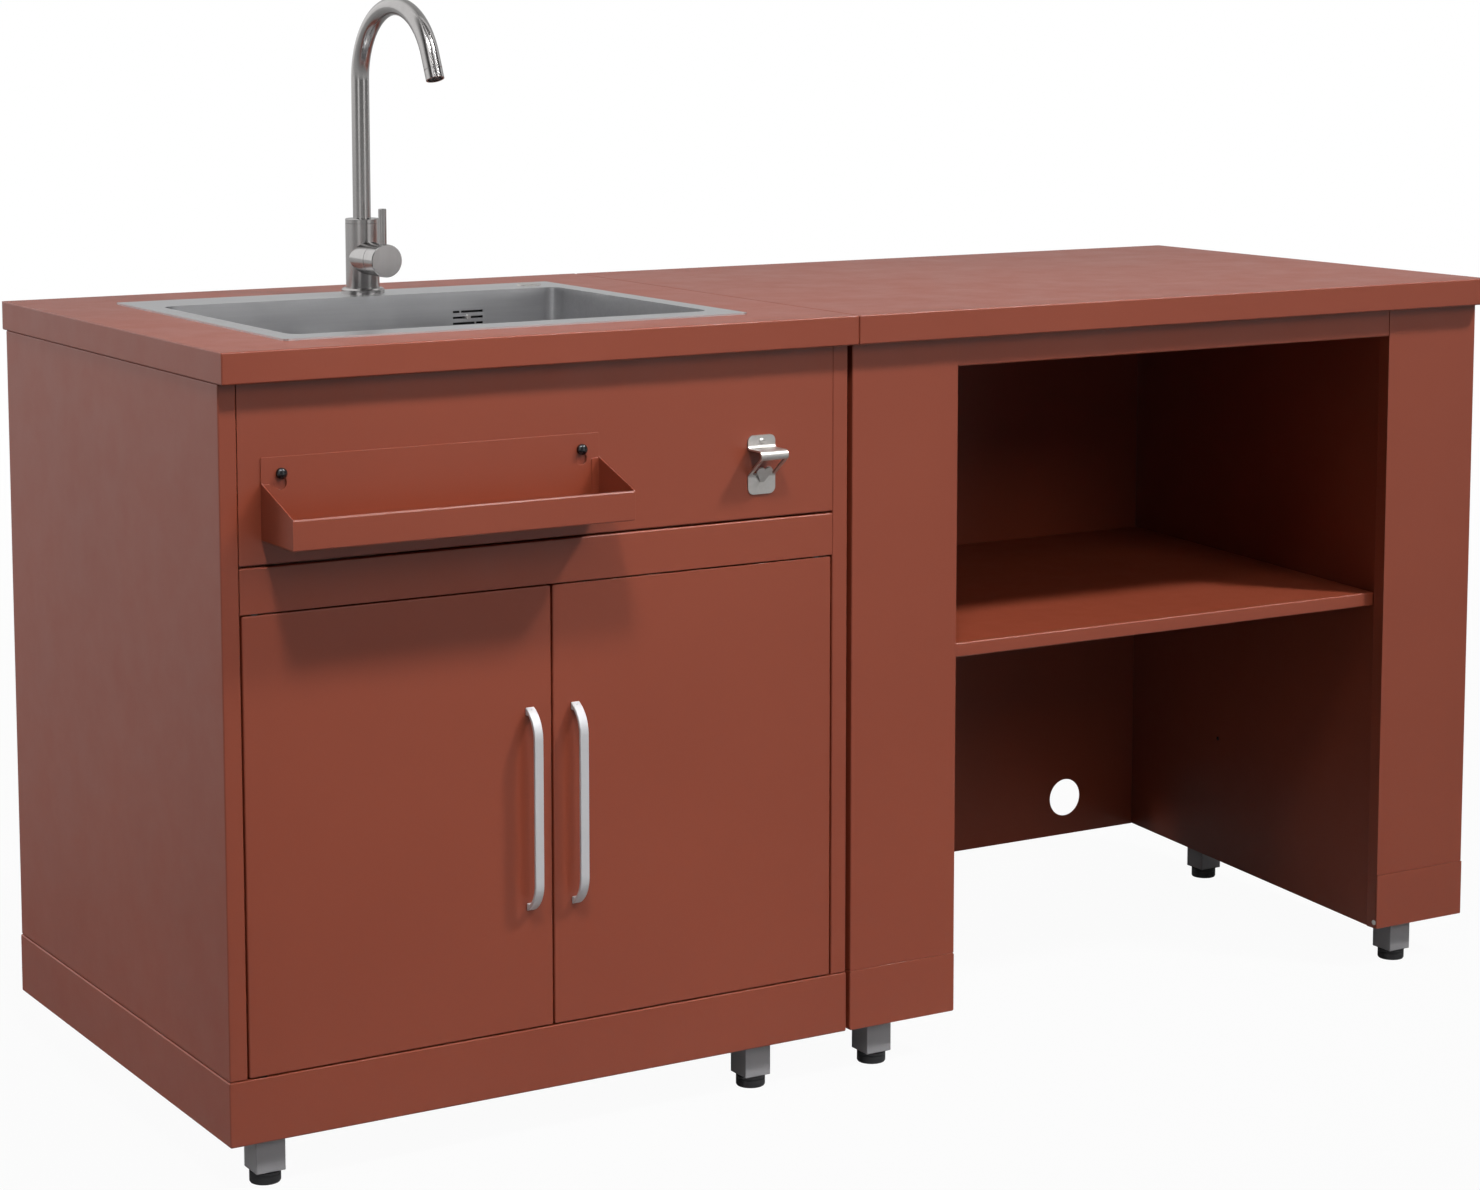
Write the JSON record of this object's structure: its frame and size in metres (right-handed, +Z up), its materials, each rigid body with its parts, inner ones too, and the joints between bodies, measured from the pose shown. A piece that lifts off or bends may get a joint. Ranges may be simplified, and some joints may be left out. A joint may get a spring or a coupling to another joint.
{
  "type": "outdoor kitchen",
  "caption": "Folded-steel outdoor kitchen: a two-door sink cabinet with swivel tap, hanging condiment rack and bottle opener, joined to an open table module with a shelf.",
  "frame": {"origin": "on the ground under the middle of the whole box that holds the part", "axes": "+X to the right along the worktops as seen from the front, +Y to the back, +Z up"},
  "size_m": [1.8006, 0.765, 1.2962],
  "materials": {
    "red_coat": "satin powder coat",
    "leg_coat": "grey powder coat",
    "foot_black": "matt black",
    "handle_satin": "satin anodised",
    "zinc": "zinc plated",
    "black_nylon": "moulded black",
    "white_plastic": "moulded white",
    "black_steel": "gloss black",
    "polished_steel": "polished stainless",
    "bowl_steel": "brushed stainless",
    "tap_steel": "brushed stainless",
    "brass": "plain"
  },
  "bodies": {
    "cabinet": {"sink_worktop": "red_coat", "sink_side_left": "red_coat", "sink_side_right": "red_coat", "sink_back_panel": "red_coat", "sink_floor_panel": "red_coat", "sink_fascia": "red_coat", "sink_mid_rail": "red_coat", "sink_plinth": "red_coat", "sink_legs": "leg_coat", "hinge_bushes": "black_nylon", "magnet_catches": "white_plastic", "rack_studs": "black_steel", "bottle_opener": "polished_steel", "opener_screw": "polished_steel", "sink_bowl": "bowl_steel", "overflow_housing": "black_nylon", "overflow_screw": "polished_steel", "drain_flange": "polished_steel", "drain_nut": "black_nylon", "drain_trap": "white_plastic", "deck_cap": "polished_steel", "tap_base": "tap_steel", "tap_body": "tap_steel", "tap_ring": "tap_steel", "tap_cartridge": "white_plastic", "tap_nut": "brass", "table_worktop": "red_coat", "table_side_left": "red_coat", "table_side_right": "red_coat", "table_wall_left": "red_coat", "table_wall_right": "red_coat", "table_plinth_left": "red_coat", "table_plinth_right": "red_coat", "table_apron": "red_coat", "table_back_panel": "red_coat", "table_shelf": "red_coat", "table_legs": "leg_coat", "module_bolts": "zinc"},
    "door_left": {"door_left": "red_coat", "handle_left": "handle_satin", "handle_screws_left": "zinc", "hinge_pins_left": "zinc"},
    "door_right": {"door_right": "red_coat", "handle_right": "handle_satin", "handle_screws_right": "zinc", "hinge_pins_right": "zinc"},
    "rack": {"condiment_rack": "red_coat"},
    "basket": {"strainer_basket": "polished_steel"},
    "spout": {"tap_spout": "tap_steel", "tap_aerator": "tap_steel"},
    "knob": {"tap_knob": "tap_steel", "tap_lever": "tap_steel"},
    "sink_front_left_foot": {"sink_foot_front_left": "foot_black"},
    "sink_front_right_foot": {"sink_foot_front_right": "foot_black"},
    "sink_rear_left_foot": {"sink_foot_rear_left": "foot_black"},
    "sink_rear_right_foot": {"sink_foot_rear_right": "foot_black"},
    "table_front_left_foot": {"table_foot_front_left": "foot_black"},
    "table_front_right_foot": {"table_foot_front_right": "foot_black"},
    "table_rear_left_foot": {"table_foot_rear_left": "foot_black"},
    "table_rear_right_foot": {"table_foot_rear_right": "foot_black"}
  },
  "joints": [
    {"name": "door_left_hinge", "type": "hinge", "parent": "cabinet", "child": "door_left", "pos_m": [-0.8573, -0.29, 0.384], "axis": [0, 0, -1], "range_deg": [0, 110]},
    {"name": "door_right_hinge", "type": "hinge", "parent": "cabinet", "child": "door_right", "pos_m": [-0.1433, -0.29, 0.384], "axis": [0, 0, 1], "range_deg": [0, 110]},
    {"name": "rack_lift", "type": "slide", "parent": "cabinet", "child": "rack", "axis": [0, 0, 1], "range_m": [0, 0.011]},
    {"name": "basket_lift", "type": "slide", "parent": "cabinet", "child": "basket", "axis": [0, 0, 1], "range_m": [0, 0.07]},
    {"name": "spout_swivel", "type": "hinge", "parent": "cabinet", "child": "spout", "pos_m": [-0.4823, 0.2355, 1], "axis": [0, 0, 1], "continuous": true},
    {"name": "knob_turn", "type": "hinge", "parent": "cabinet", "child": "knob", "pos_m": [-0.4823, 0.1755, 0.972], "axis": [0, 1, 0], "range_deg": [0, 90]},
    {"name": "sink_front_left_foot_screw", "type": "slide", "parent": "cabinet", "child": "sink_front_left_foot", "axis": [0, 0, -1], "range_m": [0, 0.02]},
    {"name": "sink_front_right_foot_screw", "type": "slide", "parent": "cabinet", "child": "sink_front_right_foot", "axis": [0, 0, -1], "range_m": [0, 0.02]},
    {"name": "sink_rear_left_foot_screw", "type": "slide", "parent": "cabinet", "child": "sink_rear_left_foot", "axis": [0, 0, -1], "range_m": [0, 0.02]},
    {"name": "sink_rear_right_foot_screw", "type": "slide", "parent": "cabinet", "child": "sink_rear_right_foot", "axis": [0, 0, -1], "range_m": [0, 0.02]},
    {"name": "table_front_left_foot_screw", "type": "slide", "parent": "cabinet", "child": "table_front_left_foot", "axis": [0, 0, -1], "range_m": [0, 0.02]},
    {"name": "table_front_right_foot_screw", "type": "slide", "parent": "cabinet", "child": "table_front_right_foot", "axis": [0, 0, -1], "range_m": [0, 0.02]},
    {"name": "table_rear_left_foot_screw", "type": "slide", "parent": "cabinet", "child": "table_rear_left_foot", "axis": [0, 0, -1], "range_m": [0, 0.02]},
    {"name": "table_rear_right_foot_screw", "type": "slide", "parent": "cabinet", "child": "table_rear_right_foot", "axis": [0, 0, -1], "range_m": [0, 0.02]}
  ]
}
